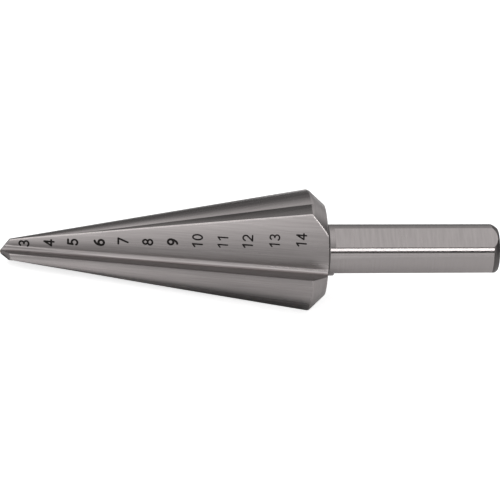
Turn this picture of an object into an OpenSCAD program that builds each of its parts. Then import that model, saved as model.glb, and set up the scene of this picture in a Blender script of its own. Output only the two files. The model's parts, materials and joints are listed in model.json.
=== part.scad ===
// Cone drill bit for opening round holes in sheet metal and plastics.
// One piece of hardened steel: a tapered cutter with straight flutes, and a
// shank with flats for the jaws of a chuck. Millimetres, +Z up.
//
// The tool is drawn along +X with its point at the origin, and is then laid on
// its side as it comes to rest on a table, across the two edges of one flute.
// Clock angles run about +X, from +Y towards +Z. Seen from the shank the tool
// turns clockwise, so they grow from a cutting edge back over its land.

/* [Cutting cone] */
// Length from the point to the large corner
cone_l = 35.5; // [28:0.5:44]
// Cutting diameter at the outer end of the point's lips
small_d = 2.8; // [2.4:0.1:3.6]
// Cutting diameter at the large corner
large_d = 14.2; // [12:0.1:18]
// Included angle of the point
point_angle = 106; // [90:1:125]
// Clock angle from each lip to the steepest line of its facet
facet_turn = 30; // [15:1:45]

/* [Lands] */
// Relief of the lands behind their cutting edges, in degrees
relief_angle = 5.2; // [3:0.1:8]
// Clock angle from a cutting edge to the crease that ends its relief
crease_at = 38.8; // [32:0.2:44]
// Angle at which the strip behind the crease rises again
strip_angle = 10.6; // [6:0.2:15]

/* [Flutes] */
// Number of flutes, lands and shank flats
flute_n = 3; // [3:1:4]
// Angle between the two walls of a flute
flute_angle = 85.4; // [75:0.2:92]
// Radius at the bottom of a flute
root_r = 0.48; // [0.3:0.02:0.7]
// Slope of a flute's bottom line to the axis
root_slope = 6.95; // [6:0.05:8]
// Distance behind the point at which the bottom lines pass the axis
root_pass_x = 2; // [1:0.1:4]
// Distance by which the bottom lines miss the axis
root_miss = 0.13; // [0:0.01:0.3]
// Clock angle of a flute's bottom line behind its cutting edge
root_behind = 11; // [6:0.5:14]
// Lean of the cutting face from the radial plane through the bottom line
face_lean = 23.4; // [16:0.2:28]

/* [Back of the cone] */
// Angle of the chamfer behind the large corner, to the axis
chamfer_angle = 42.7; // [35:0.1:55]
// Diameter at the inner edge of the chamfer
chamfer_d = 10.4; // [9.5:0.1:11.5]
// Slope of the back face between the chamfer and the shank
back_slope = 12; // [5:1:20]
// Radius between the chamfer and the back face
back_r = 0.6; // [0.2:0.05:1]
// Radius between the back face and the shank
neck_r = 0.25; // [0.1:0.05:0.4]

/* [Shank] */
// Overall length of the tool
tool_l = 58; // [52:0.5:70]
// Diameter of the shank
shank_d = 6; // [5:0.1:7]
// Depth of the flats below the shank's round surface
flat_depth = 0.28; // [0.1:0.02:0.5]
// Distance from the back face to the flats
flat_gap = 0.5; // [0.3:0.05:1]
// Length of the chamfer on the shank's end
end_bevel_l = 0.8; // [0.4:0.05:1.2]
// Depth of the chamfer on the shank's end
end_bevel_h = 0.54; // [0.3:0.02:0.8]
// Radius of the crown across that chamfer
end_crown_r = 2; // [1.2:0.1:4]

/* [Hidden] */
$fn = 96;

// Allowance by which a cutting shape runs past the metal
over = shank_d / 3;
pitch = 360 / flute_n;

// The lips of the point, and the cone on which the cutting corners lie
lip_slope = tan(90 - point_angle / 2);
lip_x = small_d / 2 * lip_slope;
cone_slope = (large_d - small_d) / 2 / (cone_l - lip_x);
apex_x = lip_x - small_d / 2 / cone_slope;

// Each land is two eccentric cones with the same apex, given as shares of the
// radius: the relieved land falls away from the cutting edge, and the strip
// behind the crease rises again
land_off = tan(relief_angle);
land_dir = crease_at / 2 - 90;
land_rad = norm(ray(0) - ray(land_dir) * land_off);
crease_rad = to_circle([0, 0], ray(crease_at), ray(land_dir) * land_off, land_rad);
// Clock angle from the crease to where the strip has the slope given above
strip_half = 8.5;
strip_off = tan(strip_angle);
strip_dir = crease_at + strip_half + 90;
strip_rad = norm(ray(crease_at) * crease_rad - ray(strip_dir) * strip_off);

// The back of the cone, as corners of the turned outline: [radius, x]
chamfer_slope = tan(chamfer_angle);
chamfer_end_x = cone_l + (large_d - chamfer_d) / 2 / chamfer_slope;
back_x = chamfer_end_x + (chamfer_d - shank_d) / 2 * tan(back_slope);
blank_grow = 1.08;
blank_r0 = cone_slope * (-over - apex_x) * blank_grow;
// Where the oversize cone of the blank meets the line of the chamfer
blank_corner_x = (large_d / 2 + cone_l * chamfer_slope + apex_x * cone_slope * blank_grow)
    / (chamfer_slope + cone_slope * blank_grow);
blank_corner_r = cone_slope * (blank_corner_x - apex_x) * blank_grow;

// One flute's bottom line stands at this clock angle
root_dir = pitch + root_behind;
// A flute's walls reach this far from its bottom line
wall_l = large_d;

// Unit vector at a clock angle, in the section across the axis: [y, z]
function ray(a) = [cos(a), sin(a)];

// Clock angle of a place in the section across the axis
function clock(p) = atan2(p[1], p[0]);

// Cutting cone's radius at x
function cone_r(x) = cone_slope * (x - apex_x);

// Distance along the ray from p in direction u to a circle round m of radius r
function to_circle(p, u, m, r) =
    let (q = p - m, b = q * u)
    -b + sqrt(b * b - q * q + r * r);

// A flute's sharp bottom line in the section at x
function root_at(x) =
    ray(root_dir) * (x - root_pass_x) * tan(root_slope) - ray(root_dir + 90) * root_miss;

// Direction of a wall in the section across the axis, from its direction in
// the section across the bottom line
function wall_dir(a) = root_dir + atan2(sin(a) * cos(root_slope), cos(a));

// Cutting edge and heel of one flute, in the section at x
function edge_at(x) =
    let (p = root_at(x), u = ray(wall_dir(-face_lean)))
    p + u * to_circle(p, u, ray(pitch + land_dir) * cone_r(x) * land_off, cone_r(x) * land_rad);
function heel_at(x) =
    let (p = root_at(x), u = ray(wall_dir(-face_lean - flute_angle)))
    p + u * to_circle(p, u, ray(strip_dir) * cone_r(x) * strip_off, cone_r(x) * strip_rad);

// Middle of a flute's opening, where the lands are parted
flute_mid = (clock(heel_at(cone_l)) + clock(edge_at(cone_l))) / 2;

// The table touches the heel's corner, and the cutting edge near the centre of
// mass: the edge bulges a few hundredths of a millimetre between these places
touch_x = cone_l * 2 / 3;
heel_pt = [cone_l, each heel_at(cone_l)];
edge_pt = [cone_l, each edge_at(cone_l)];
fore_pt = [touch_x, each edge_at(touch_x)];
table_raw = cross(fore_pt - edge_pt, heel_pt - edge_pt);
table_n = table_raw / norm(table_raw) * sign(table_raw * edge_pt);
lay_roll = -90 - atan2(table_n[2], table_n[1]);
lay_tilt = asin(table_n[0]);
table_h = table_n * edge_pt;
shank_r = shank_d / 2;
end_r = shank_r - end_bevel_h;
mid_x = (tool_l * cos(lay_tilt) + end_r * sin(-lay_tilt)) / 2;

// Centre of the circle of radius r that touches both legs of the corner a-b-c
function round_centre(a, b, c, r) =
    let (u = (a - b) / norm(a - b), v = (c - b) / norm(c - b), w = u + v)
    b + w / norm(w) * r / sqrt((1 - u * v) / 2);
// Where that circle touches the leg from b towards a
function round_touch(a, b, c, r) =
    let (u = (a - b) / norm(a - b), v = (c - b) / norm(c - b))
    b + u * r * sqrt((1 + u * v) / (1 - u * v));

// Centre of the circle of radius r through a and b, on the right of the way
// from a to b
function crown_centre(a, b, r) =
    let (u = b - a)
    (a + b) / 2 + [u[1], -u[0]] * sqrt(r * r / (u * u) - 1 / 4);

// Outline of what turning takes off the shank's end: [radius, x]
module end_outline() {
    before = [shank_r, tool_l - end_bevel_l];
    end = [end_r, tool_l];
    inside = end_bevel_l / 8;
    difference() {
        translate([end_r - inside, before[1] - inside]) square(over);
        translate(crown_centre(end, before, end_crown_r)) circle(r = end_crown_r);
    }
}

// Outline of the turned blank: [radius, x], with its axis along Y
module blank_outline() {
    before = [blank_corner_r, blank_corner_x];
    rim = [chamfer_d / 2, chamfer_end_x];
    neck = [shank_r, back_x];
    after = [shank_r, tool_l];
    difference() {
        union() {
            polygon([
                [0, -over], [blank_r0, -over], before,
                round_touch(before, rim, neck, back_r), round_touch(neck, rim, before, back_r),
                round_touch(rim, neck, after, neck_r), round_touch(after, neck, rim, neck_r),
                after, [0, tool_l],
            ]);
            translate(round_centre(before, rim, neck, back_r)) circle(r = back_r);
        }
        end_outline();
        translate(round_centre(rim, neck, after, neck_r)) circle(r = neck_r);
    }
}

module blank() {
    rotate([0, 90, 0]) rotate_extrude() blank_outline();
}

// Cone from the common apex, leaning off the axis: share is its radius and off
// its offset, both as shares of the cutting cone's radius
module leaning_cone(share, off, dir) {
    lean = atan(off * cone_slope);
    long = (tool_l - apex_x) / cos(lean);
    translate([apex_x, 0, 0]) rotate([dir, 0, 0]) rotate([0, 0, lean]) rotate([0, 90, 0])
        cylinder(h = long, r1 = 0, r2 = long * share * cone_slope);
}

// Sector of a round bar, between two clock angles
module sector(from, to, r, x0, x1) {
    translate([x0, 0, 0]) rotate([90, 0, 90]) linear_extrude(x1 - x0)
        polygon([[0, 0], for (i = [0:3]) ray(from + (to - from) * i / 3) * r]);
}

// What relief grinding takes off outside one land
module relief() {
    difference() {
        sector(flute_mid - pitch, flute_mid, large_d, -over, back_x);
        leaning_cone(land_rad, land_off, land_dir);
        leaning_cone(strip_rad, strip_off, strip_dir);
    }
}

// Section of the grinding wheel across a flute's bottom line
module wheel_outline() {
    face = ray(-face_lean);
    back = ray(-face_lean - flute_angle);
    union() {
        polygon([
            round_touch(face, [0, 0], back, root_r), face * wall_l,
            back * wall_l, round_touch(back, [0, 0], face, root_r),
        ]);
        translate(round_centre(face, [0, 0], back, root_r)) circle(r = root_r);
    }
}

module flute() {
    rotate([root_dir, 0, 0]) translate([root_pass_x, 0, -root_miss]) rotate([0, 0, root_slope])
        rotate([90, 0, 90]) translate([0, 0, -root_pass_x - over])
            linear_extrude(back_x + over) wheel_outline();
}

// Half-space in front of one facet of the point
module facet() {
    lip_dir = clock(edge_at(lip_x)) - pitch;
    steep = atan(cos(facet_turn) / lip_slope);
    rotate([lip_dir + facet_turn, 0, 0]) rotate([0, 0, steep])
        translate([-large_d, 0, -large_d]) cube([2 * large_d, large_d, 2 * large_d]);
}

// What grinding takes off one flat of the shank
module shank_flat() {
    flat_x = back_x + flat_gap;
    rotate([pitch / 2, 0, 0]) translate([flat_x, shank_r - flat_depth, -shank_r])
        cube([tool_l + over - flat_x, shank_r, shank_d]);
}

module cone_drill() {
    color([0.62, 0.6, 0.59])
    translate([-mid_x, 0, table_h]) rotate([0, lay_tilt, 0]) rotate([lay_roll, 0, 0])
        difference() {
            blank();
            for (i = [0:flute_n - 1]) rotate([i * pitch, 0, 0]) {
                relief();
                flute();
                facet();
                shank_flat();
            }
        }
}

cone_drill();
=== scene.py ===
"""Cone drill bit: ground and turned steel of its cone, flutes and shank, and the scale on one flute wall.

Sizes are millimetres and degrees in the tool's own frame. x runs from the point along the axis, and (y, z)
is the section across it, in which clock angles run from +Y towards +Z. A finished mesh is placed in metres
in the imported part's frame, by the mounts on its shank.
"""
import json

import bpy
import numpy as np
from mathutils import Matrix, Vector


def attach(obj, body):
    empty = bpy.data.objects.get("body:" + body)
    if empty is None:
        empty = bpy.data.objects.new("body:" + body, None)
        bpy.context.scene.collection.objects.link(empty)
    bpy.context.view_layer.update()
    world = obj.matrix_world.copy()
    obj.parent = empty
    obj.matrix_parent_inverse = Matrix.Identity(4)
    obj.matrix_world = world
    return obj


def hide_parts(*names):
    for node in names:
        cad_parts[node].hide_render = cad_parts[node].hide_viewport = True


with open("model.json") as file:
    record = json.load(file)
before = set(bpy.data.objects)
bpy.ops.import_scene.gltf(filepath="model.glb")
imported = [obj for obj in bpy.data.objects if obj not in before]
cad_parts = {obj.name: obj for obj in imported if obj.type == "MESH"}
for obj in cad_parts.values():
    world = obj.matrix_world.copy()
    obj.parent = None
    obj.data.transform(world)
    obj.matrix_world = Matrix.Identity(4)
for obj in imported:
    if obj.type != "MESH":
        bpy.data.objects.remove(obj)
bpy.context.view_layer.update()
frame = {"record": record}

# Cutting cone and point
CONE_L = 35.5
SMALL_D = 2.8
LARGE_D = 14.2
POINT_ANGLE = 106.0
FACET_TURN = 30.0

# Lands, and the small rounds on their edges: CREASE_BLEND is a share of the cone's radius there
RELIEF_ANGLE = 5.2
CREASE_AT = 38.8
STRIP_ANGLE = 10.6
STRIP_HALF = 8.5
CREASE_BLEND = 0.0026
CORNER_BLEND = 0.22
EDGE_ROUND = 0.06
HEEL_ROUND = 0.09
HEEL_ROUND_BACK = 0.2

# Flutes
FLUTE_N = 3
FLUTE_ANGLE = 85.4
ROOT_R = 0.48
ROOT_SLOPE = 6.95
ROOT_PASS_X = 2.0
ROOT_MISS = 0.13
ROOT_BEHIND = 11.0
FACE_LEAN = 23.4

# Back of the cone and the shank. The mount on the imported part's end face lies at END_MOUNT_X
CHAMFER_ANGLE = 42.7
CHAMFER_D = 10.65
BACK_SLOPE = 8.0
BACK_R = 0.12
NECK_R = 0.2
TOOL_L = 57.8
END_MOUNT_X = 58.0
SHANK_D = 6.0
FLAT_DEPTH = 0.28
FLAT_GAP = 0.78
BEVEL_L = 0.78
BEVEL_H = 0.48
BEVEL_CROWN_R = 2.5

# Scale: one number for each whole millimetre of the cone's diameter
FIRST_MARK = 3
LAST_MARK = 14
MARKED_FLUTE = 2
DIGIT_H = 1.25
DIGIT_SHARE = 0.64
DIGIT_W = DIGIT_SHARE * DIGIT_H
DIGIT_GAP = 0.1
DIGIT_BEAD = 0.006

MM = 0.001
MICROMETRE = 1e-6


def ray(a):
    """Unit vector of the section at clock angle a: (cos a, sin a)."""
    a = np.radians(a)
    return np.stack([np.cos(a), np.sin(a)], axis=-1)


def clock(p):
    """Clock angle of a place in the section."""
    return np.degrees(np.arctan2(p[..., 1], p[..., 0]))


def spun(p, a):
    """Places of the section turned by clock angle a: (y cos a - z sin a, y sin a + z cos a)."""
    c, s = ray(a)
    y, z = p[..., 0], p[..., 1]
    return np.stack([y * c - z * s, y * s + z * c], axis=-1)


def circle_r(a, off, direction, radius):
    """Distance from the axis at clock a to a circle that stands off the axis.

    It is off cos t + sqrt(radius^2 - off^2 sin^2 t), where t is the angle from the circle's direction.
    """
    t = np.radians(a - direction)
    return off * np.cos(t) + np.sqrt(radius**2 - (off * np.sin(t)) ** 2)


def smooth_max(a, b, width):
    """The larger of a and b, with a parabola of that width in place of the corner where they cross."""
    near = np.clip(1 - np.abs(a - b) / width, 0, None)
    return np.maximum(a, b) + near**2 * width / 4


PITCH = 360 / FLUTE_N
LIP_SLOPE = np.tan(np.radians(90 - POINT_ANGLE / 2))
LIP_X = SMALL_D / 2 * LIP_SLOPE
CONE_SLOPE = (LARGE_D - SMALL_D) / 2 / (CONE_L - LIP_X)
APEX_X = LIP_X - SMALL_D / 2 / CONE_SLOPE

# Circles of a land and of the strip behind its crease, as shares of the cone's radius
LAND_OFF = np.tan(np.radians(RELIEF_ANGLE))
LAND_DIR = CREASE_AT / 2 - 90
LAND_RAD = np.linalg.norm(ray(0) - ray(LAND_DIR) * LAND_OFF)
CREASE_R = circle_r(CREASE_AT, LAND_OFF, LAND_DIR, LAND_RAD)
STRIP_OFF = np.tan(np.radians(STRIP_ANGLE))
STRIP_DIR = CREASE_AT + STRIP_HALF + 90
STRIP_RAD = np.linalg.norm(ray(CREASE_AT) * CREASE_R - ray(STRIP_DIR) * STRIP_OFF)

# A flute's section across its bottom line: number wall, round root, cutting wall
ROOT_DIR = PITCH + ROOT_BEHIND
NUMBER_WALL = -FACE_LEAN - FLUTE_ANGLE
CUTTING_WALL = -FACE_LEAN
ROOT_ARC = ROOT_R * np.radians(180 - FLUTE_ANGLE)
ROOT_CENTRE = ray((NUMBER_WALL + CUTTING_WALL) / 2) * ROOT_R / np.sin(np.radians(FLUTE_ANGLE / 2))

CHAMFER_SLOPE = np.tan(np.radians(CHAMFER_ANGLE))
CHAMFER_END_X = CONE_L + (LARGE_D - CHAMFER_D) / 2 / CHAMFER_SLOPE
SHANK_R = SHANK_D / 2
BACK_X = CHAMFER_END_X + (CHAMFER_D / 2 - SHANK_R) * np.tan(np.radians(BACK_SLOPE))
FLAT_X = BACK_X + FLAT_GAP
FLAT_R = SHANK_R - FLAT_DEPTH
FLAT_MID = PITCH / 2
FLAT_HALF = np.degrees(np.arccos(FLAT_R / SHANK_R))

# Rounds of the searches that narrow a bracket in halves or in thirds, and of the one for a column's start
HALVINGS = 50
THIRDINGS = 70
START_ROUNDS = 12


def cone_r(x):
    """Radius of the cutting cone at x."""
    return CONE_SLOPE * (x - APEX_X)


def chamfer_r(x):
    """Radius at x of the line of the chamfer, which is far outside the cone everywhere else."""
    return LARGE_D / 2 - (x - CONE_L) * CHAMFER_SLOPE


def land_r(a, x, turned):
    """Outline of a land at clock a: the larger of its two circles, cut off by the turned radius.

    Both corners, the crease and the large corner, are eased.
    """
    land = circle_r(a, LAND_OFF, LAND_DIR, LAND_RAD)
    strip = circle_r(a, STRIP_OFF, STRIP_DIR, STRIP_RAD)
    ground = smooth_max(land, strip, CREASE_BLEND) * cone_r(x)
    return -smooth_max(-ground, -turned, CORNER_BLEND)


def root_at(x):
    """The flute's sharp bottom line at x: it climbs by tan(ROOT_SLOPE) and passes the axis at ROOT_MISS."""
    climb = (x - ROOT_PASS_X) * np.tan(np.radians(ROOT_SLOPE))
    return climb[..., None] * ray(ROOT_DIR) - ray(ROOT_DIR + 90) * ROOT_MISS


def from_wheel(x, w):
    """A place w of the grinding wheel's section, carried to the section at x.

    Away from the axis it is stretched by 1 / cos(ROOT_SLOPE).
    """
    up = w[..., :1] / np.cos(np.radians(ROOT_SLOPE))
    return root_at(x) + up * ray(ROOT_DIR) + w[..., 1:] * ray(ROOT_DIR + 90)


def flute_wheel(s):
    """The wheel's section by length s across it.

    It is a straight number wall below 0, an arc up to ROOT_ARC, and a straight cutting wall beyond.
    """
    turn = NUMBER_WALL - 90 - np.degrees(np.clip(s, 0, ROOT_ARC) / ROOT_R)
    arc = ROOT_CENTRE + ROOT_R * ray(turn)
    number = np.maximum(-s, 0)[..., None] * ray(NUMBER_WALL)
    cutting = np.maximum(s - ROOT_ARC, 0)[..., None] * ray(CUTTING_WALL)
    return arc + number + cutting


def flute_at(x, s):
    """The flute's surface in the section at x, by length s across it."""
    return from_wheel(x, flute_wheel(s))


def nearest_s(x):
    """Length s at which the flute comes nearest to the axis, found by narrowing a bracket in thirds."""
    low, high = np.full_like(x, -LARGE_D), np.full_like(x, LARGE_D)
    for _ in range(THIRDINGS):
        third = (high - low) / 3
        left = np.linalg.norm(flute_at(x, low + third), axis=-1)
        right = np.linalg.norm(flute_at(x, high - third), axis=-1)
        low, high = np.where(left > right, low + third, low), np.where(left > right, high, high - third)
    return (low + high) / 2


def wall_end(x, turned, foot, side):
    """Length s at which a wall meets the land's outline, found by halving.

    side is -1 for the heel and 1 for the cutting edge.
    """
    inside, outside = foot, foot + side * LARGE_D
    for _ in range(HALVINGS):
        mid = (inside + outside) / 2
        p = flute_at(x, mid)
        out = np.linalg.norm(p, axis=-1) > land_r(clock(p) - PITCH * (side > 0), x, turned)
        inside, outside = np.where(out, inside, mid), np.where(out, mid, outside)
    return inside


def shares(stops, steps):
    """Rows of places between neighbouring stops, with that many even steps from each to the next."""
    parts = [
        a[..., None] + (b - a)[..., None] * np.arange(n) / n for a, b, n in zip(stops, stops[1:], steps)
    ]
    return np.concatenate(parts + [stops[-1][..., None]], axis=-1)


# Steps between the named places of a sector: columns across a land, an edge round and a flute
LAND_STEPS = (1, 8, 2, 2, 4, 1)
ROUND_STEPS = 4
FLUTE_STEPS = (1, 3, 1, 8, 1, 3, 1)
LAND_COLUMNS = sum(LAND_STEPS) + 1
FLUTE_COLUMNS = sum(FLUTE_STEPS) + 1
COLUMNS = LAND_COLUMNS + FLUTE_COLUMNS + 2 * (ROUND_STEPS - 1)

# Turn from the crease to the columns beside it, and the most of a land or a flute that an edge may take
CREASE_BESIDE = 1.2
MOST_EASED = 1 / 8


def eased_corner(start, corner, end):
    """Places inside the round of a corner: a parabola from start to end, drawn towards the corner."""
    t = (np.arange(1, ROUND_STEPS) / ROUND_STEPS)[:, None]
    start, corner, end = (p[..., None, :] for p in (start, corner, end))
    return (1 - t) ** 2 * start + 2 * t * (1 - t) * corner + t**2 * end


def sector_section(x, turned):
    """One land and the flute behind it, as a row of places for each x.

    The land runs between its cutting edge and its heel by clock angle, and the flute from there to the next
    cutting edge by length. The cutting edge is eased over EDGE_ROUND, and the heel over HEEL_ROUND, which
    grows to HEEL_ROUND_BACK behind the cone.
    """
    foot = nearest_s(x)
    heel_s, edge_s = wall_end(x, turned, foot, -1), wall_end(x, turned, foot, 1)
    heel, edge = flute_at(x, heel_s), flute_at(x, edge_s)
    most = (edge_s - heel_s) * MOST_EASED
    to_back = np.clip((x - CONE_L) / CORNER_BLEND, 0, 1)
    edge_ease = np.minimum(EDGE_ROUND, most)
    heel_ease = np.minimum(HEEL_ROUND + (HEEL_ROUND_BACK - HEEL_ROUND) * to_back, most)

    edge_turn = np.degrees(edge_ease / np.linalg.norm(edge, axis=-1))
    heel_turn = np.degrees(heel_ease / np.linalg.norm(heel, axis=-1))
    first, last = clock(edge) - PITCH + edge_turn, clock(heel) - heel_turn
    crease = np.minimum(CREASE_AT, last - (last - first) * MOST_EASED)
    beside_crease = (crease - CREASE_BESIDE, crease, crease + CREASE_BESIDE)
    a = shares((first, first + edge_turn / 3, *beside_crease, last - heel_turn / 3, last), LAND_STEPS)
    land = land_r(a, x[..., None], turned[..., None])[..., None] * ray(a)

    start, end = heel_s + heel_ease, edge_s - edge_ease
    beside = edge_ease / 3
    root_start = np.clip(0, start + 3 * beside, end - 6 * beside)
    root_end = np.clip(ROOT_ARC, root_start + 2 * beside, end - 3 * beside)
    root = (root_start - beside, root_start, root_end, root_end + beside)
    s = shares((start, start + beside, *root, end - beside, end), FLUTE_STEPS)
    flute = flute_at(np.broadcast_to(x[..., None], s.shape), s)

    next_land = land_r(first, x, turned)[..., None] * ray(first + PITCH)
    heel_round = eased_corner(land[..., -1, :], heel, flute[..., 0, :])
    edge_round = eased_corner(flute[..., -1, :], edge, next_land)
    return np.concatenate([land, heel_round, flute, edge_round], axis=-2)


def arc_between(centre, p, q, n):
    """n + 1 places on an arc about centre, from centre + p to centre + q.

    With angle between p and q, a place at t is centre + (p sin(angle - t) + q sin t) / sin(angle).
    """
    angle = np.arccos(p @ q / (p @ p))
    t = np.linspace(0, angle, n + 1)[:, None]
    return centre + (np.sin(angle - t) * p + np.sin(t) * q) / np.sin(angle)


def corner_arc(a, b, c, r, n):
    """n + 1 places on the arc of radius r that touches both legs of the corner a-b-c."""
    a, b, c = (np.array(p, float) for p in (a, b, c))
    u, v = (a - b) / np.linalg.norm(a - b), (c - b) / np.linalg.norm(c - b)
    centre = b + (u + v) / np.linalg.norm(u + v) * r / np.sqrt((1 - u @ v) / 2)
    reach = r * np.sqrt((1 + u @ v) / (1 - u @ v))
    return arc_between(centre, b + u * reach - centre, b + v * reach - centre, n)


def straight(a, b, n):
    """n + 1 places on the line from a to b."""
    return np.linspace(a, b, n + 1)


# Steps of the turned outline, how far both ways from the large corner its stations stand close together, and
# how far apart they stand at a step
CONE_STEPS = 27
CORNER_STEPS = 24
CHAMFER_STEPS = 6
RIM_STEPS = 8
FACE_STEPS = 9
NECK_STEPS = 6
BAR_STEPS = 12
BEVEL_STEPS = 10
CORNER_REACH = 3 * CORNER_BLEND
STEP_GAP = 0.02

# Where the flutes' last section stands on the back face, as a share of the way to where they run out
LAST_OPEN = 0.985

# Radii of the end face's rings, as shares of its own, inside a first ring close to its edge
END_RINGS = (0.8, 0.5, 0.2)


def back_outline():
    """The turned outline behind the large corner as (x, radius): chamfer, round rim and neck fillet."""
    corner, rim = (CONE_L, LARGE_D / 2), (CHAMFER_END_X, CHAMFER_D / 2)
    neck, after = (BACK_X, SHANK_R), (TOOL_L, SHANK_R)
    rim_arc = corner_arc(corner, rim, neck, BACK_R, RIM_STEPS)
    neck_arc = corner_arc(rim, neck, after, NECK_R, NECK_STEPS)
    chamfer_from = CONE_L + CORNER_REACH
    chamfer = straight((chamfer_from, chamfer_r(chamfer_from)), rim_arc[0], CHAMFER_STEPS)
    return chamfer, rim_arc, neck_arc


def closing_share(start, end):
    """Share of the way down the back face at which a flute runs out, found by halving.

    Its nearest place is there as far from the axis as the face.
    """
    low, high = 0.0, 1.0
    for _ in range(HALVINGS):
        mid = (low + high) / 2
        x, r = start + (end - start) * mid
        x = np.array(x)
        open_here = np.linalg.norm(flute_at(x, nearest_s(x))) < r
        low, high = (mid, high) if open_here else (low, mid)
    return low


def bevel_arc():
    """The crowned bevel on the shank's end as (x, radius): an arc through both of its edges."""
    start, end = np.array([TOOL_L - BEVEL_L, SHANK_R]), np.array([TOOL_L, SHANK_R - BEVEL_H])
    chord = end - start
    length = np.linalg.norm(chord)
    inward = np.array([chord[1], -chord[0]]) / length
    centre = (start + end) / 2 + inward * np.sqrt(BEVEL_CROWN_R**2 - length**2 / 4)
    return arc_between(centre, start - centre, end - centre, BEVEL_STEPS)


# Columns of a sector on the shank: steps to just past the flat, the turn between an edge of the flat and its
# neighbours, the least half turn of the flat, the first column's clock angle, and the most turn from the
# flat's middle, in radians, at which its line is followed
SHANK_STEPS = (15, 1, 1, 10, 1, 1)
FLAT_BESIDE = 0.35
LEAST_FLAT_HALF = 3.0
FIRST_COLUMN = -8.0
MOST_ACROSS = 1.3


def shank_clocks(radius):
    """Clock angles of a sector's columns on the shank.

    A column stands on each edge of the flat, where that radius meets it.
    """
    half = np.degrees(np.arccos(np.clip(FLAT_R / radius, 0, 1)))
    half = np.maximum(half, LEAST_FLAT_HALF)
    mid = np.full_like(half, FLAT_MID)
    first = np.full_like(half, FIRST_COLUMN)
    near_edge = (mid - half - FLAT_BESIDE, mid - half, mid - half + FLAT_BESIDE)
    far_edge = (mid + half - FLAT_BESIDE, mid + half, mid + half + FLAT_BESIDE)
    steps = (*SHANK_STEPS, COLUMNS - sum(SHANK_STEPS))
    return shares((first, *near_edge, *far_edge, first + PITCH), steps)[..., :COLUMNS]


def in_three(p):
    """A sector's section turned to all its clock positions, joined into one ring."""
    return np.concatenate([spun(p, i * PITCH) for i in range(FLUTE_N)], axis=-2)


def facet_clocks():
    """Clock angles of the steepest lines of the point's facets, set from the place of the lips."""
    x = np.array(LIP_X)
    foot = nearest_s(x)
    lip = clock(flute_at(x, wall_end(x, chamfer_r(x), foot, 1))) - PITCH
    return lip + FACET_TURN + np.arange(FLUTE_N) * PITCH


FACETS = facet_clocks()

# Where the columns that start on the point's facets come level, and how each shares out its length to there
POINT_X = 4.0
POINT_SHARES = (0, 0.01, 0.08, 0.2, 0.35, 0.52, 0.75)


def point_start():
    """x at which each column of a sector begins, on the facets of the point.

    It is the greatest of the column's reaches along the facets' steepest lines, over their slope, found by
    repeating.
    """
    slope = np.cos(np.radians(FACET_TURN)) / LIP_SLOPE
    x = np.full(COLUMNS, LIP_X)
    for _ in range(START_ROUNDS):
        p = sector_section(x, chamfer_r(x))[np.arange(COLUMNS), np.arange(COLUMNS)]
        x = (p @ ray(FACETS).T).max(axis=-1) / slope
    return x


def point_stations():
    """Columns from the point's facets to POINT_X: each column shares out its own length."""
    start = point_start()
    x = start + (POINT_X - start) * np.array(POINT_SHARES)[:, None]
    sections = sector_section(x.ravel(), chamfer_r(x.ravel()))
    column = np.tile(np.arange(COLUMNS), len(POINT_SHARES))
    p = sections[np.arange(x.size), column].reshape(len(POINT_SHARES), COLUMNS, 2)
    return x, p


def cutter_stations():
    """Sections from POINT_X to where the flutes run out on the back face."""
    chamfer, rim_arc, neck_arc = back_outline()
    cone_x = straight(POINT_X, CONE_L - CORNER_REACH, CONE_STEPS)
    corner_x = straight(CONE_L - CORNER_REACH, chamfer[0][0], CORNER_STEPS)[1:-1]
    cone = np.concatenate([cone_x, corner_x])
    open_share = closing_share(rim_arc[-1], neck_arc[0])
    end = rim_arc[-1] + (neck_arc[0] - rim_arc[-1]) * open_share * LAST_OPEN
    back = straight(rim_arc[-1], end, FACE_STEPS)[1:]
    outline = np.concatenate([np.stack([cone, chamfer_r(cone)], -1), chamfer, rim_arc[1:], back])
    return outline, sector_section(outline[:, 0], outline[:, 1])


def shank_stations(closed_from):
    """Outline (x, radius) from where the flutes have run out, over the neck and along the shank to its end.

    It comes with the number of rows on the back face, and the rows at which the flat and the bevel begin.
    """
    _, _, neck_arc = back_outline()
    face = straight(closed_from, neck_arc[0], FACE_STEPS)[1:]
    before_flat = straight((neck_arc[-1][0] + STEP_GAP, SHANK_R), (FLAT_X - STEP_GAP, SHANK_R), 2)
    step = np.array([(FLAT_X, SHANK_R)])
    shoulder = np.array([(FLAT_X + STEP_GAP, SHANK_R), (FLAT_X + 2 * STEP_GAP, SHANK_R)])
    bar_end = TOOL_L - BEVEL_L - STEP_GAP
    bar = straight((FLAT_X + 3 * STEP_GAP, SHANK_R), (bar_end, SHANK_R), BAR_STEPS)
    bevel = bevel_arc()
    end_r = bevel[-1][1]
    rings = np.array([end_r - STEP_GAP, *(end_r * share for share in END_RINGS)])
    end_face = np.stack([np.full_like(rings, TOOL_L), rings], -1)
    outline = np.concatenate([face, neck_arc[1:], before_flat, step, shoulder, bar, bevel, end_face])
    flat_from = len(face) + NECK_STEPS + len(before_flat) + len(step)
    bevel_from = flat_from + len(shoulder) + len(bar)
    return outline, len(face), flat_from, bevel_from


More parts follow.
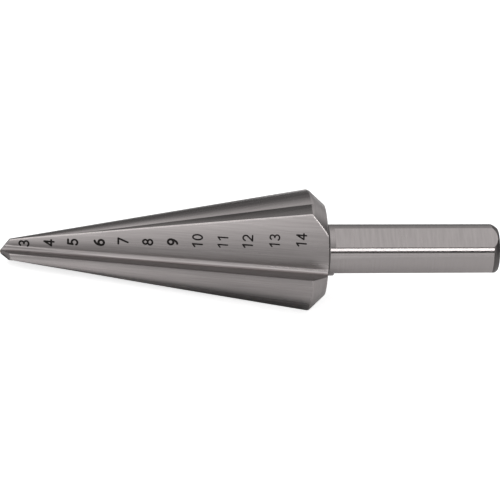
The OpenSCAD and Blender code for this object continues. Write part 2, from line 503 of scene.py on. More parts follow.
def shank_sections(outline, blend_rows, flat_from, bevel_from, first_clocks):
    """Sections of the shank: circles, each cut by the flat's line from flat_from on.

    Over the first blend_rows rows, the columns' clock angles ease from the flutes' last section to the shank.
    """
    radius = outline[:, 1]
    reach = radius.copy()
    reach[:bevel_from] = SHANK_R
    target = shank_clocks(reach)
    ease = np.clip(np.arange(1, len(outline) + 1) / blend_rows, 0, 1)[:, None]
    a = first_clocks + (target - first_clocks) * ease
    across = np.abs(np.radians(a - FLAT_MID))
    flat = FLAT_R / np.cos(np.minimum(across, MOST_ACROSS))
    r = np.repeat(radius[:, None], COLUMNS, axis=1)
    r[flat_from:] = np.minimum(r[flat_from:], flat[flat_from:])
    return r[..., None] * ray(a), a


def tool_frame():
    """The tool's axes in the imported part's frame, from the mounts on the shank's end and its first flat."""
    mounts = {m["name"]: m for m in frame["record"]["mounts"]}
    end = np.array(mounts["shank_end"]["pos_m"])
    ex = np.array(mounts["shank_end"]["axis"])
    ex /= np.linalg.norm(ex)
    flat = np.array(mounts["shank_flat_1"]["axis"])
    flat -= ex * (flat @ ex)
    flat /= np.linalg.norm(flat)
    c, s = ray(FLAT_MID + MARKED_FLUTE * PITCH)
    beside = np.cross(ex, flat)
    return end, ex, c * flat - s * beside, s * flat + c * beside


END, EX, EY, EZ = tool_frame()


def place(x, p):
    """Places (x, (y, z)) of the tool in metres in the part's frame."""
    return END + ((x - END_MOUNT_X)[..., None] * EX + p[..., :1] * EY + p[..., 1:] * EZ) * MM


def mesh_object(name, vertices, faces, smooth, loop_uv, material_index, materials):
    """A mesh object from arrays, with the grinding map as its UVs and one material index for each face."""
    mesh = bpy.data.meshes.new(name)
    mesh.from_pydata(vertices.tolist(), [], faces)
    mesh.polygons.foreach_set("use_smooth", smooth)
    mesh.polygons.foreach_set("material_index", material_index)
    grind = mesh.uv_layers.new(name="grind")
    grind.uv.foreach_set("vector", np.asarray(loop_uv, np.float32).ravel())
    for material in materials:
        mesh.materials.append(material)
    mesh.update()
    made = bpy.data.objects.new(name, mesh)
    bpy.context.scene.collection.objects.link(made)
    return made


# Kinds of face, each with a finish of its own
LAND, STRIP, FLUTE, RAKE, TURNED, SHANK, FLAT, POINT, END_FACE, HEEL, NECK, BEVEL = range(12)

# How far past a flat's edge its columns may stand, in degrees, and how far inside the circle its places lie
# on the bevel
CLOCK_SLACK = 0.2
RADIUS_SLACK = 0.002

# Grinding map of one triangle at the centre of the end face
END_PATCH = ((0.0, 0.5), (0.1, 0.5), (0.05, 0.0))


def grinding_map(p, shank_a, outline, point_x):
    """The grinding map of one sector, with a further column that closes it, in millimetres.

    It gives the length round the section from the cutting edge, the same from the root, the clock angle in
    radians, and the length along the outline.
    """
    closed = np.concatenate([p, in_three(p)[:, COLUMNS : COLUMNS + 1]], axis=1)
    steps = np.linalg.norm(np.diff(closed, axis=1), axis=-1)
    around = np.concatenate([np.zeros((len(p), 1)), np.cumsum(steps, axis=1)], axis=1)
    root_column = LAND_COLUMNS + ROUND_STEPS - 1 + sum(FLUTE_STEPS[:3])
    from_root = around - around[:, root_column : root_column + 1]
    spin = np.radians(np.unwrap(clock(closed), period=360, axis=1))
    spin[-len(shank_a):, :-1] = np.radians(shank_a)
    spin[:, -1] = spin[:, 0] + np.radians(PITCH)
    path = np.concatenate([[0], np.cumsum(np.linalg.norm(np.diff(outline, axis=0), axis=1))]) + POINT_X
    point_along = np.concatenate([point_x, point_x[:, :1]], axis=1)
    along = np.concatenate([point_along, np.repeat(path[:, None], COLUMNS + 1, 1)])
    return around, from_root, spin, along


def cutter_kinds(one, corner_row):
    """Kinds of the faces by their column in a sector, and turned from corner_row on between the flutes."""
    heel_column = LAND_COLUMNS - 1
    is_flute = one >= heel_column + ROUND_STEPS // 2
    is_rake = one >= heel_column + ROUND_STEPS + sum(FLUTE_STEPS[:4])
    behind_crease = one >= sum(LAND_STEPS[:3])
    kind = np.where(is_flute, np.where(is_rake, RAKE, FLUTE), np.where(behind_crease, STRIP, LAND))
    kind[corner_row:] = np.where(is_flute[corner_row:], kind[corner_row:], TURNED)
    kind[(one >= heel_column) & (one < heel_column + ROUND_STEPS)] = HEEL
    return kind


def on_flat(spin):
    """Which faces of the ring lie on a flat of the shank, by their columns' clock angles."""
    away = np.abs(np.degrees(np.tile(spin[:, :-1], (1, FLUTE_N))) + CLOCK_SLACK - FLAT_MID)
    return (away[:-1] < FLAT_HALF) & (np.roll(away, -1, axis=1)[:-1] < FLAT_HALF + CLOCK_SLACK)


def point_faces(start, tip_at):
    """Faces of the point: a flat one for each facet, and a small triangle across each ridge."""
    ring = len(start)
    facet = (start @ ray(FACETS).T).argmax(axis=-1)
    turn_at = np.flatnonzero(facet != np.roll(facet, 1))
    faces = []
    for a, b in zip(turn_at, np.roll(turn_at, -1)):
        piece = np.arange(a, b if b > a else b + ring) % ring
        faces.append([tip_at, *piece[::-1].tolist()])
    return faces + [[tip_at, int(a), int((a - 1) % ring)] for a in turn_at]


def face_corners(values, row, at):
    """Values at the four corners of the faces at row and column at."""
    below, above = values[row, at], values[row + 1, at]
    return np.stack([below, values[row, at + 1], values[row + 1, at + 1], above], -1)


def drill_body(materials):
    """The whole drill as one closed surface: the section carried along the axis.

    The point's facets close it at one end and the end face at the other. The grinding map's first coordinate
    runs round the section and its second along the axis or down a turned face, both in millimetres. On a land
    it starts at the cutting edge and in a flute at the root.
    """
    point_x, point_p = point_stations()
    cutter, cutter_p = cutter_stations()
    first_clocks = np.degrees(np.unwrap(np.radians(clock(cutter_p[-1]))))
    shank, blend_rows, flat_from, bevel_from = shank_stations(cutter[-1])
    shank_p, shank_a = shank_sections(shank, blend_rows, flat_from, bevel_from, first_clocks)
    outline = np.concatenate([cutter, shank])

    p = np.concatenate([point_p, cutter_p, shank_p])
    x = np.concatenate([point_x, np.repeat(outline[:, :1], COLUMNS, 1)])
    rows, ring = len(p), COLUMNS * FLUTE_N
    grid = place(np.tile(x, (1, FLUTE_N)), in_three(p)).reshape(-1, 3)
    tip, pole = (place(np.array([at]), np.zeros((1, 2))) for at in (0.0, TOOL_L))
    vertices = np.concatenate([grid, tip, pole])
    tip_at, pole_at = rows * ring, rows * ring + 1

    row, column = np.meshgrid(np.arange(rows - 1), np.arange(ring), indexing="ij")
    beyond = (column + 1) % ring
    quads = np.stack([column, beyond, beyond + ring, column + ring], -1) + (row * ring)[..., None]

    one = column % COLUMNS
    around, from_root, spin, along = grinding_map(p, shank_a, outline, point_x)
    kind = cutter_kinds(one, len(point_p) + np.argmax(cutter[:, 0] > CONE_L))
    shank_row = len(point_p) + len(cutter)
    neck_row = shank_row + blend_rows - 1
    flat_row, bevel_row = shank_row + flat_from + 1, shank_row + bevel_from
    kind[shank_row - 1 :] = TURNED
    kind[neck_row:] = NECK
    kind[neck_row + NECK_STEPS :] = SHANK
    kind[flat_row:] = np.where(on_flat(spin)[flat_row:], FLAT, SHANK)
    crossing = np.linalg.norm(shank_p, axis=-1) < shank[:, 1:] - RADIUS_SLACK
    kept_flat = np.tile(crossing, (1, FLUTE_N))[bevel_from:-1]
    kind[bevel_row:] = np.where(kept_flat | np.roll(kept_flat, -1, axis=1), FLAT, BEVEL)
    kind[-len(END_RINGS) - 1 :] = END_FACE

    by_place = [face_corners(u, row, one) for u in (around, from_root, spin * SHANK_R)]
    u = np.select([kind[..., None] <= STRIP, kind[..., None] <= RAKE], by_place[:2], by_place[2])
    quad_uv = np.stack([u, face_corners(along, row, one)], -1).reshape(-1, 2)

    start = in_three(p)[0]
    facets = point_faces(start, tip_at)
    facet_corners = np.minimum(np.concatenate(facets), ring)
    facet_uv = np.concatenate([start, np.zeros((1, 2))])[facet_corners]

    last = (rows - 1) * ring + np.arange(ring)
    fan = np.stack([last, np.roll(last, -1), np.full(ring, pole_at)], -1)
    fan_uv = np.tile(END_PATCH, (ring, 1)) + [0, along[-1, 0]]

    faces = quads.reshape(-1, 4).tolist() + fan.tolist() + facets
    kinds = np.concatenate([kind.ravel(), np.full(ring, END_FACE), np.full(len(facets), POINT)])
    uv = np.concatenate([quad_uv, fan_uv, facet_uv])
    return mesh_object("drill_body", vertices, faces, kinds != POINT, uv, kinds, materials)


def arc(cx, cy, rx, ry, start, end, n=16):
    """Places on an ellipse's arc between two angles, in shares of the digit's height."""
    return np.array([cx, cy]) + ray(np.linspace(start, end, n)) * [rx, ry]


def line(start, end):
    """A straight stroke of a digit."""
    return straight(start, end, 2)


# Strokes of the digits, in shares of their height
SIX = [arc(0.32, 0.32, 0.25, 0.25, 0, 360, 22), arc(0.50, 0.36, 0.43, 0.57, 180, 98, 12)]
STROKES = {
    0: [arc(0.32, 0.5, 0.24, 0.43, 0, 360, 28)],
    1: [line((0.12, 0.75), (0.36, 0.93)), line((0.36, 0.93), (0.36, 0.07))],
    2: [
        arc(0.32, 0.68, 0.25, 0.25, 165, -38),
        line((0.517, 0.526), (0.08, 0.07)),
        line((0.08, 0.07), (0.58, 0.07)),
    ],
    3: [arc(0.30, 0.715, 0.22, 0.215, 150, -90), arc(0.30, 0.285, 0.26, 0.215, 90, -150)],
    4: [line((0.44, 0.93), (0.06, 0.30)), line((0.06, 0.30), (0.60, 0.30)), line((0.44, 0.93), (0.44, 0.07))],
    5: [
        line((0.54, 0.93), (0.15, 0.93)),
        line((0.15, 0.93), (0.11, 0.50)),
        arc(0.31, 0.335, 0.26, 0.265, 140, -145),
    ],
    6: SIX,
    7: [line((0.06, 0.93), (0.58, 0.93)), line((0.58, 0.93), (0.25, 0.07))],
    8: [arc(0.32, 0.715, 0.21, 0.215, 0, 360, 22), arc(0.32, 0.285, 0.25, 0.215, 0, 360, 24)],
    9: [np.array([DIGIT_SHARE, 1.0]) - stroke for stroke in SIX],
}

# Section of a stroke's bead: across it in half widths, and its height in DIGIT_BEAD
BEAD = np.array([(-1, -1.0), (-0.9, 0.7), (0, 1.0), (0.9, 0.7), (1, -1.0)])

# Angles at which the round tip of a stroke has places, and the least share of its width there
TIP_ANGLES = (90, 65, 40, 20)
TIP_LEAST = 0.08

# The marks' even step for a millimetre of diameter, a little shorter than the cone's own, and where it starts
MARK_STEP = 2.854
MARK_START = -5.847

# Distance of the marks' middle from the sharp root at the tool's origin, and its growth along the tool
MARK_GAP = 0.704
MARK_FAN = 0.0905

# Each number stands a little off the even scale: by how much along the tool and away from the root, and the
# width of its strokes
MARK_OFFSETS = {
    3: (0.08, -0.05, 0.23), 4: (0.09, -0.01, 0.24), 5: (-0.06, 0.04, 0.25), 6: (0.11, 0.0, 0.28),
    7: (-0.04, 0.09, 0.24), 8: (-0.08, -0.03, 0.24), 9: (-0.10, -0.06, 0.27), 10: (-0.13, 0.06, 0.21),
    11: (-0.10, -0.04, 0.19), 12: (-0.13, -0.09, 0.20), 13: (0.08, 0.0, 0.19), 14: (0.26, 0.07, 0.20),
}


def rounded_path(path, half):
    """A stroke's centre line with further places for its round tips, and the half width at each place."""
    t = np.radians(TIP_ANGLES)
    before = (path[0] - path[1]) / np.linalg.norm(path[0] - path[1])
    after = (path[-1] - path[-2]) / np.linalg.norm(path[-1] - path[-2])
    head = path[0] + before * np.sin(t)[:, None] * half
    tail = path[-1] + after * np.sin(t[::-1])[:, None] * half
    narrow = np.maximum(np.cos(t), TIP_LEAST) * half
    widths = np.concatenate([narrow, np.full(len(path), half), narrow[::-1]])
    return np.concatenate([head, path, tail]), widths


def stroke_ribbon(path, half):
    """A low bead along a stroke: places (along the text, up the digit, height), its quads and its ends."""
    centre, widths = rounded_path(path, half)
    way = np.gradient(centre, axis=0)
    way /= np.linalg.norm(way, axis=1)[:, None]
    side = np.stack([-way[:, 1], way[:, 0]], -1)
    flat = centre[:, None] + side[:, None] * (widths[:, None] * BEAD[:, 0])[..., None]
    height = np.broadcast_to(BEAD[:, 1] * DIGIT_BEAD, flat.shape[:2])
    rows, ring = flat.shape[:2]
    row, column = np.meshgrid(np.arange(rows - 1), np.arange(ring), indexing="ij")
    beyond = (column + 1) % ring
    quads = np.stack([column, column + ring, beyond + ring, beyond], -1) + (row * ring)[..., None]
    ends = np.stack([np.arange(ring), rows * ring - 1 - np.arange(ring)])
    return np.concatenate([flat, height[..., None]], -1).reshape(-1, 3), quads.reshape(-1, 4), ends


def scale_marks(material):
    """Numbers along one flute's number wall, read from the root outwards, with their tops to the point."""
    slope = np.radians(ROOT_SLOPE)
    normal = ray(NUMBER_WALL + 90)
    all_places, all_faces, count = [], [], 0
    for number in range(FIRST_MARK, LAST_MARK + 1):
        along, away, width = MARK_OFFSETS[number]
        even_x = MARK_STEP * number + MARK_START
        digits = [int(c) for c in str(number)]
        text_w = len(digits) * (DIGIT_W + DIGIT_GAP) - DIGIT_GAP
        strokes = [(i, stroke) for i, digit in enumerate(digits) for stroke in STROKES[digit]]
        for i, stroke in strokes:
            places, quads, ends = stroke_ribbon(stroke * DIGIT_H, width / 2)
            read = places[:, 0] + i * (DIGIT_W + DIGIT_GAP) - text_w / 2
            top = places[:, 1] - DIGIT_H / 2
            from_root = MARK_FAN * even_x + MARK_GAP + away + read
            wall = from_root[:, None] * ray(NUMBER_WALL) + places[:, 2:] * normal
            x = even_x + along - top * np.cos(slope)
            section = spun(from_wheel(x, wall), MARKED_FLUTE * PITCH)
            all_places.append(place(x - places[:, 2] * normal[0] * np.sin(slope), section))
            all_faces += (quads + count).tolist() + (ends + count).tolist()
            count += len(places)
    loop_uv = np.zeros((sum(map(len, all_faces)), 2))
    smooth, kinds = np.ones(len(all_faces), bool), np.zeros(len(all_faces), int)
    vertices = np.concatenate(all_places)
    return mesh_object("scale_marks", vertices, all_faces, smooth, loop_uv, kinds, [material])


def add_node(tree, kind, inputs=(), **settings):
    """A new shader node: its own settings first, then each input's value or the output linked to it."""
    made = tree.nodes.new("ShaderNode" + kind)
    for name, value in settings.items():
        setattr(made, name, value)
    for socket, value in dict(inputs).items():
        if isinstance(value, bpy.types.NodeSocket):
            tree.links.new(value, made.inputs[socket])
        else:
            made.inputs[socket].default_value = value
    return made


def worked_out(tree, operation, *values):
    """What a Math node makes of values and outputs."""
    return add_node(tree, "Math", enumerate(values), operation=operation).outputs["Value"]


def carried_over(tree, value, low, high, start=0.0, end=1.0, ease="LINEAR"):
    """A value between low and high, carried over to start and end and held beyond them."""
    inputs = {"Value": value, "From Min": low, "From Max": high, "To Min": start, "To Max": end}
    return add_node(tree, "MapRange", inputs, interpolation_type=ease).outputs["Result"]


def blended(tree, share, a, b, kind="FLOAT"):
    """a where the share is 0 and b where it is 1."""
    return add_node(tree, "Mix", {"Factor": share, "A": a, "B": b}, data_type=kind).outputs["Result"]


def scaled(tree, vector, gain):
    """A colour or a vector times a gain."""
    return add_node(tree, "VectorMath", {0: vector, "Scale": gain}, operation="SCALE").outputs["Vector"]


def new_material(name):
    """A new material, its node tree and the inputs of its shader."""
    material = bpy.data.materials.new(name)
    material.use_nodes = True
    return material, material.node_tree, material.node_tree.nodes["Principled BSDF"].inputs


def noise(tree, vector, detail, **more):
    """Smooth noise in the plane of the grinding map, with one feature to a unit."""
    inputs = {"Vector": vector, "Scale": 1.0, "Detail": detail, **more}
    return add_node(tree, "TexNoise", inputs, noise_dimensions="2D").outputs["Fac"]


def grinding_group():
    """Node group of grinding lines: fine and broad noise, stretched one way on the grinding map."""
    group = bpy.data.node_groups.new("grinding_lines", "ShaderNodeTree")
    for name, default in (("Around", 10.0), ("Along", 1.0), ("Broad", 0.3)):
        socket = group.interface.new_socket(name, in_out="INPUT", socket_type="NodeSocketFloat")
        socket.default_value = default
    for name in ("Lines", "Patches", "Height", "Place"):
        group.interface.new_socket(name, in_out="OUTPUT", socket_type="NodeSocketFloat")
    given, out = group.nodes.new("NodeGroupInput").outputs, group.nodes.new("NodeGroupOutput").inputs
    grind = add_node(group, "UVMap", uv_map="grind").outputs["UV"]
    scale = add_node(group, "CombineXYZ", {"X": given["Around"], "Y": given["Along"]}).outputs["Vector"]
    stretched = add_node(group, "VectorMath", {0: grind, 1: scale}, operation="MULTIPLY").outputs["Vector"]
    fine = noise(group, stretched, 3.0, Roughness=0.6)
    broad = noise(group, scaled(group, stretched, given["Broad"]), 1.0)
    height = worked_out(group, "MULTIPLY_ADD", broad, 0.5, fine)
    place_y = add_node(group, "SeparateXYZ", {"Vector": grind}).outputs["Y"]
    for name, value in (("Lines", fine), ("Patches", broad), ("Height", height), ("Place", place_y)):
        group.links.new(value, out[name])
    return group


# Painted shade and painted highlight on a flute's number wall, from the heel at -1 to the root at 0 and on
# over its round, as shares of the wall's length: painted shade beside the root, a painted highlight over its
# round, and the steel's own colour beyond
WALL_PAINTED_LIGHT = (
    (-1.0, 1.05), (-0.8, 0.95), (-0.6, 0.84), (-0.45, 0.75), (-0.3, 0.68), (-0.2, 0.62), (-0.1, 0.75),
    (-0.04, 1.05), (0.0, 1.2), (0.03, 1.4), (0.08, 1.3), (0.1399, 1.5), (0.14, 1.0),
)
WALL_PAINTED_LIGHT_MAX = 1.5

# A number wall's length: its growth along the tool, and its length at the tool's origin
WALL_LENGTH = (0.168, 0.6)

# Places along the tool between which a painted reflection fades, from a finish's lighter colour at the point
# to its own
PAINTED_LIGHT_FROM = (12.0, 34.0)

# The noise's lower and upper tones, and the shares of a finish's roughness that they give
NOISE_SPAN = (0.3, 0.7)
ROUGH_SHARES = (0.9, 1.12)


def wall_gain(tree):
    """Painted shade and highlight of a number wall, by the grinding map's place as a share of the wall's
    length.
    """
    grind = add_node(tree, "UVMap", uv_map="grind").outputs["UV"]
    parts = add_node(tree, "SeparateXYZ", {"Vector": grind}).outputs
    length = worked_out(tree, "MULTIPLY_ADD", parts["Y"], *WALL_LENGTH)
    share = worked_out(tree, "DIVIDE", parts["X"], length)
    low, high = WALL_PAINTED_LIGHT[0][0], WALL_PAINTED_LIGHT[-1][0]
    ramp = add_node(tree, "ValToRGB", {"Fac": carried_over(tree, share, low, high)})
    stops = ramp.color_ramp.elements
    for at, _ in WALL_PAINTED_LIGHT[1:-1]:
        stops.new((at - low) / (high - low))
    for stop, (_, gain) in zip(stops, WALL_PAINTED_LIGHT):
        stop.color = (*(gain / WALL_PAINTED_LIGHT_MAX,) * 3, 1)
    return worked_out(tree, "MULTIPLY", ramp.outputs["Color"], WALL_PAINTED_LIGHT_MAX)


def ground_steel(
    name, group, colour, around, along, broad, line_tone, depth, roughness,
    streak=0.0, turn=0.0, tip_painted_light=1.0, paints_wall_light=False,
):
    """Bare steel with lines left by a wheel or a lathe tool.

    colour is the mean of the steel, line_tone the share by which lines lighten and darken it, and depth the
    height of the lines in micrometres. streak is how much it draws reflections out across its lines, turned
    by turn. The tip's gain is how much lighter a painted reflection makes the colour near the point, and the
    last flag puts the number wall's painted shade and painted highlight on it.
    """
    material, tree, steel = new_material(name)
    steel["Metallic"].default_value = 1.0
    spacing = {"Around": around, "Along": along, "Broad": broad}
    lines = add_node(tree, "Group", spacing, node_tree=group).outputs

    dark, light = ((*(c * share for c in colour), 1) for share in (1 - line_tone, 1 + line_tone))
    shade = blended(tree, carried_over(tree, lines["Lines"], *NOISE_SPAN), dark, light, "RGBA")
    # painted reflection: the colour is painted lighter towards the point
    if tip_painted_light != 1:
        shade = scaled(tree, shade, carried_over(tree, lines["Place"], *PAINTED_LIGHT_FROM, tip_painted_light, 1.0))
    # painted shade beside the number wall's root and a painted highlight over its round
    if paints_wall_light:
        shade = scaled(tree, shade, wall_gain(tree))
    rough = carried_over(tree, lines["Patches"], *NOISE_SPAN, *(roughness * share for share in ROUGH_SHARES))
    relief = {"Strength": 1.0, "Distance": depth * MICROMETRE, "Height": lines["Height"]}
    bump = add_node(tree, "Bump", relief).outputs["Normal"]
    for socket, value in (("Base Color", shade), ("Roughness", rough), ("Normal", bump)):
        tree.links.new(value, steel[socket])

    if streak:
        steel["Anisotropic"].default_value = streak
        steel["Anisotropic Rotation"].default_value = turn
        tangent = add_node(tree, "Tangent", direction_type="UV_MAP", uv_map="grind").outputs["Tangent"]
        tree.links.new(tangent, steel["Tangent"])
    return material


def steel_set():
    """The drill's finishes, in the order of the kinds of face."""
    group = grinding_group()
    warm = (0.395, 0.366, 0.363)
    # painted shade: the strip behind the crease is the land's own steel, painted at half its colour
    strip_painted_shade = (0.195, 0.181, 0.179)
    # painted shade: the cutting wall is the flute's own steel, painted darker
    dark = (0.204, 0.189, 0.188)
    # painted highlight along the heel's round edge
    bright = (0.76, 0.71, 0.70)
    # painted shade on the neck beside the back face; the bevel takes the same darker colour
    neck_shade_and_bevel = (0.130, 0.121, 0.120)
    return [
        # the land and the strip carry a painted reflection, lighter towards the point
        ground_steel("land_steel", group, warm, 9.0, 0.12, 0.25, 0.10, 2.0, 0.22, tip_painted_light=1.35),
        ground_steel("strip_steel", group, strip_painted_shade, 9.0, 0.12, 0.25, 0.10, 2.0, 0.26, tip_painted_light=2.3),
        ground_steel("flute_steel", group, warm, 7.0, 0.10, 0.25, 0.09, 1.5, 0.30, paints_wall_light=True),
        ground_steel("rake_steel", group, dark, 7.0, 0.10, 0.25, 0.09, 1.5, 0.34),
        ground_steel("turned_steel", group, warm, 0.25, 9.0, 0.3, 0.10, 2.0, 0.34),
        ground_steel("shank_steel", group, warm, 0.15, 5.0, 0.3, 0.04, 0.0, 0.18, streak=1.0, turn=0.25),
        ground_steel("flat_steel", group, warm, 0.25, 3.0, 0.4, 0.07, 1.0, 0.30),
        ground_steel("point_steel", group, warm, 8.0, 0.5, 0.3, 0.06, 1.0, 0.30),
        ground_steel("end_steel", group, warm, 0.2, 6.0, 0.3, 0.06, 1.0, 0.36),
        ground_steel("heel_edge_steel", group, bright, 0.2, 2.0, 0.3, 0.06, 0.5, 0.30),
        ground_steel("neck_steel", group, neck_shade_and_bevel, 0.25, 9.0, 0.3, 0.10, 2.0, 0.40),
        ground_steel("bevel_steel", group, neck_shade_and_bevel, 0.25, 9.0, 0.3, 0.10, 2.0, 0.40),
    ]


def marking_ink():
    """The dark oxide that a marking laser leaves: nearly black brown, matt, mottled at a stroke's scale."""
    material, tree, oxide = new_material("marking_oxide")
    oxide["Roughness"].default_value = 0.6
    oxide["Specular IOR Level"].default_value = 0.15
    where = add_node(tree, "TexCoord").outputs["Object"]
    mottle = add_node(tree, "TexNoise", {"Vector": where, "Scale": 9000.0, "Detail": 2.0}).outputs["Fac"]
    shade = blended(tree, mottle, (0.006, 0.005, 0.005, 1), (0.018, 0.015, 0.014, 1), "RGBA")
    tree.links.new(shade, oxide["Base Color"])
    return material


# The photograph's viewing angle, in the tool's own frame
VIEW_CLOCK = 90.22 + MARKED_FLUTE * PITCH
VIEW_SWING = 5.29
VIEW_AT_X = 28.97
VIEW_DISTANCE = 277.5
VIEW_ROLL = 0.17
PICTURE_W = 57.94
SENSOR_W = 36.0
AIM_RIGHT = 0.096
AIM_UP = 0.017


def section_way(a):
    """Direction in the part's frame of clock angle a."""
    c, s = ray(a)
    return EY * c + EZ * s


TOWARDS, UP = section_way(VIEW_CLOCK), section_way(VIEW_CLOCK - 90)


def add_camera():
    """The camera, swung from square-on towards the point and rolled so that the tool lies level."""
    c, s = ray(VIEW_SWING)
    back, right = c * TOWARDS - s * EX, c * EX + s * TOWARDS
    target = place(np.array(VIEW_AT_X), np.zeros(2)) + (UP * AIM_UP - right * AIM_RIGHT) * MM
    c, s = ray(VIEW_ROLL)
    right, up = c * right - s * UP, s * right + c * UP
    camera = bpy.data.cameras.new("camera")
    camera.sensor_width = SENSOR_W
    camera.lens = SENSOR_W * VIEW_DISTANCE / PICTURE_W
    camera.clip_start = 0.01
    seat = bpy.data.objects.new("camera", camera)
    turn = Matrix((right, up, back)).transposed().to_4x4()
    seat.matrix_world = Matrix.Translation(Vector(target + back * VIEW_DISTANCE * MM)) @ turn
    bpy.context.scene.collection.objects.link(seat)
    bpy.context.scene.camera = seat


# Floor: its half width in metres, its colour, and the light that makes it white to the camera
FLOOR_HALF = 3.0
FLOOR_TONE = 0.8
FLOOR_LIFT = 0.72

# Painted light of the floor that only the steel mirrors, by how far in front of the drill a place lies, in
# heights
# of the axis there: from, to, and the light at both. Beside the shank, whose x in metres follows, it is even
LIFT_NEAR = (0.7, 1.0, 0.0, 0.13)
LIFT_FAR = (3.8, 6.6, 0.0, 0.68)
LIFT_BY_SHANK = 0.14
LIFT_SHANK_FROM = (0.006, 0.012)
LEAST_HEIGHT = 0.001

# Places, measured in the same way, where the floor is painted darker for the steel's reflections only:
# painted shade under the cone and in a band in front of it
UNDER_CONE = (0.65, 0.95)
FRONT_NEAR = (1.6, 2.4)
FRONT_FAR = (3.4, 6.0)
MIRRORED_PAINTED_SHADE = 0.45


def add_floor():
    """A pale floor, white to the camera, with painted light and shade in the steel, taking the drill's soft
    shadow.
    """
    half = FLOOR_HALF
    corners = [(-half, -half, 0), (half, -half, 0), (half, half, 0), (-half, half, 0)]
    mesh = bpy.data.meshes.new("floor")
    mesh.from_pydata(corners, [], [(0, 1, 2, 3)])
    floor = bpy.data.objects.new("floor", mesh)
    bpy.context.scene.collection.objects.link(floor)
    material, tree, paint = new_material("pale_floor")
    mesh.materials.append(material)
    paint["Roughness"].default_value = 1.0
    paint["Specular IOR Level"].default_value = 0.0
    paint["Emission Color"].default_value = (1, 1, 1, 1)
    rays = add_node(tree, "LightPath").outputs

    # The way in front of the drill, as a share of the axis's height there
    where = add_node(tree, "TexCoord").outputs["Object"]
    parts = add_node(tree, "SeparateXYZ", {"Vector": where}).outputs
    climb = EX[2] / EX[0]
    height = worked_out(tree, "MULTIPLY_ADD", parts["X"], climb, END[2] - END[0] * climb)
    front = worked_out(tree, "MULTIPLY", parts["Y"], 1.0 if TOWARDS[1] > 0 else -1.0)
    ratio = worked_out(tree, "DIVIDE", front, worked_out(tree, "MAXIMUM", height, LEAST_HEIGHT))

    # painted reflection: the floor glows for glossy rays only
    lift = worked_out(tree, "ADD", *(carried_over(tree, ratio, *span) for span in (LIFT_NEAR, LIFT_FAR)))
    lift = blended(tree, carried_over(tree, parts["X"], *LIFT_SHANK_FROM), lift, LIFT_BY_SHANK)
    mirrored = worked_out(tree, "MULTIPLY", rays["Is Glossy Ray"], lift)
    shown = worked_out(tree, "MULTIPLY_ADD", rays["Is Camera Ray"], FLOOR_LIFT, mirrored)
    tree.links.new(shown, paint["Emission Strength"])

    # painted shade, seen only in reflections: darker under the cone and in a band in front of it
    rises = carried_over(tree, ratio, *FRONT_NEAR)
    falls = carried_over(tree, ratio, *FRONT_FAR, 1.0, 0.0)
    under = carried_over(tree, ratio, *UNDER_CONE, 1.0, 0.0)
    painted_shade = worked_out(tree, "ADD", under, worked_out(tree, "MULTIPLY", rises, falls))
    by_cone = carried_over(tree, parts["X"], *LIFT_SHANK_FROM, 1.0, 0.0)
    painted_shade = worked_out(tree, "MULTIPLY", painted_shade, by_cone)
    painted_shade = worked_out(tree, "MULTIPLY", rays["Is Glossy Ray"], painted_shade)
    tones = [(tone, tone, tone, 1) for tone in (FLOOR_TONE, MIRRORED_PAINTED_SHADE)]
    tree.links.new(blended(tree, painted_shade, *tones, "RGBA"), paint["Base Color"])


# Soft boxes round the drill: brightness by the angle above the camera's line, going over the top to the far
# side. One set stands towards the point and the other towards the shank's end
BOXES_LEFT = (
    (-180, 0.16), (-34, 0.8), (-30, 1.0), (-22, 0.95), (-14, 0.5), (-5, 0.4), (10, 0.45), (24, 0.6),
    (40, 0.85), (60, 0.96), (88, 0.96), (100, 0.72), (108, 0.42), (114, 0.27), (120, 0.18), (126, 0.14),
    (140, 0.11), (180, 0.10),
)
BOXES_RIGHT = (
    (-180, 0.5), (-30, 0.7), (-25, 0.72), (-20, 0.9), (-16.5, 0.95), (-15, 0.0), (-5, 0.0), (8, 0.3),
    (16, 0.6), (40, 0.85), (60, 0.95), (90, 0.85), (115, 0.6), (135, 0.4), (155, 0.12), (180, 0.1),
)

# Shares of a direction that lie along the tool, between which one light gives way to the next: from the left
# boxes to the right ones, from both to the plain light of the ends, and to the dark beyond the shank's end
RIGHT_FROM = (0.0, 0.07)
SIDE_LIGHT = 0.75
SIDE_FROM = (0.45, 0.75)
END_DARK = 0.1
END_DARK_FROM = (0.78, 0.86)

# A narrow bright strip beside the camera, towards the shank's end: it draws the line along the shank
STRIP_LIGHT = 4.0
STRIP_MID = -0.3
STRIP_EDGE = (5.0, 5.8)
STRIP_FROM = (0.03, 0.07)


def boxes(tree, turn, levels):
    """Brightness of a set of soft boxes by the share of a full turn, straight from level to level."""
    curve_node = add_node(tree, "FloatCurve", {"Value": turn})
    curve = curve_node.mapping.curves[0]
    for point, (degrees, level) in zip(curve.points, (levels[0], levels[-1])):
        point.location = (degrees / 360 + 0.5, level)
        point.handle_type = "VECTOR"
    for degrees, level in levels[1:-1]:
        curve.points.new(degrees / 360 + 0.5, level).handle_type = "VECTOR"
    curve_node.mapping.update()
    return curve_node.outputs["Value"]


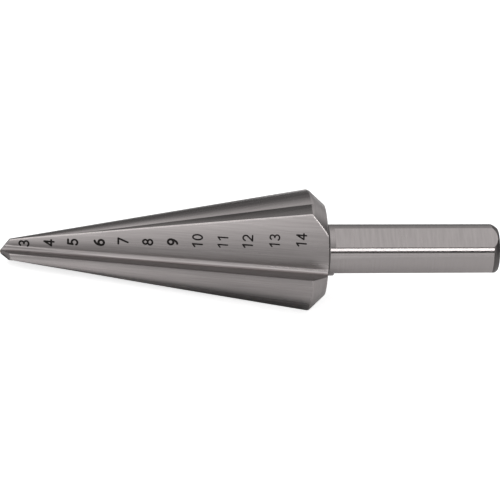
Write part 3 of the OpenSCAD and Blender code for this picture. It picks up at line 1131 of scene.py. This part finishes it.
def add_studio():
    """World light: soft boxes by the angle round the tool's axis, and plain light from both ends.

    The angle is atan2 of a direction's parts along the camera's up and towards the camera, and the share of
    the ends grows with its part along the tool.
    """
    world = bpy.data.worlds.new("studio")
    bpy.context.scene.world = world
    world.use_nodes = True
    tree = world.node_tree
    way = add_node(tree, "TexCoord").outputs["Generated"]
    up, towards, along = (
        add_node(tree, "VectorMath", {0: way, 1: axis}, operation="DOT_PRODUCT").outputs["Value"]
        for axis in (UP, TOWARDS, EX)
    )
    angle = worked_out(tree, "ARCTAN2", up, towards)
    turn = worked_out(tree, "MULTIPLY_ADD", angle, 1 / (2 * np.pi), 0.5)

    to_right = carried_over(tree, along, *RIGHT_FROM, ease="SMOOTHSTEP")
    level = blended(tree, to_right, boxes(tree, turn, BOXES_LEFT), boxes(tree, turn, BOXES_RIGHT))
    to_side = carried_over(tree, worked_out(tree, "ABSOLUTE", along), *SIDE_FROM, ease="SMOOTHSTEP")
    level = blended(tree, to_side, level, SIDE_LIGHT)
    past_end = carried_over(tree, along, *END_DARK_FROM, ease="SMOOTHSTEP")
    level = blended(tree, past_end, level, END_DARK)

    away = worked_out(tree, "ABSOLUTE", worked_out(tree, "SUBTRACT", angle, np.radians(STRIP_MID)))
    across = carried_over(tree, away, *np.radians(STRIP_EDGE), 1.0, 0.0, ease="SMOOTHSTEP")
    beside = carried_over(tree, along, *STRIP_FROM, ease="SMOOTHSTEP")
    in_strip = worked_out(tree, "MULTIPLY", across, worked_out(tree, "SUBTRACT", beside, past_end))
    level = blended(tree, in_strip, level, STRIP_LIGHT)

    # The camera sees plain white, and only the drill and the floor see the boxes
    seen = add_node(tree, "LightPath").outputs["Is Camera Ray"]
    shine = tree.nodes["Background"].inputs
    shine["Color"].default_value = (1, 1, 1, 1)
    tree.links.new(blended(tree, seen, level, 1.0), shine["Strength"])


body = drill_body(steel_set())
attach(body, "root")
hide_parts("cone_drill")

marks = scale_marks(marking_ink())
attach(marks, "root")

add_camera()
add_floor()
add_studio()
bpy.context.scene.view_settings.view_transform = "Standard"
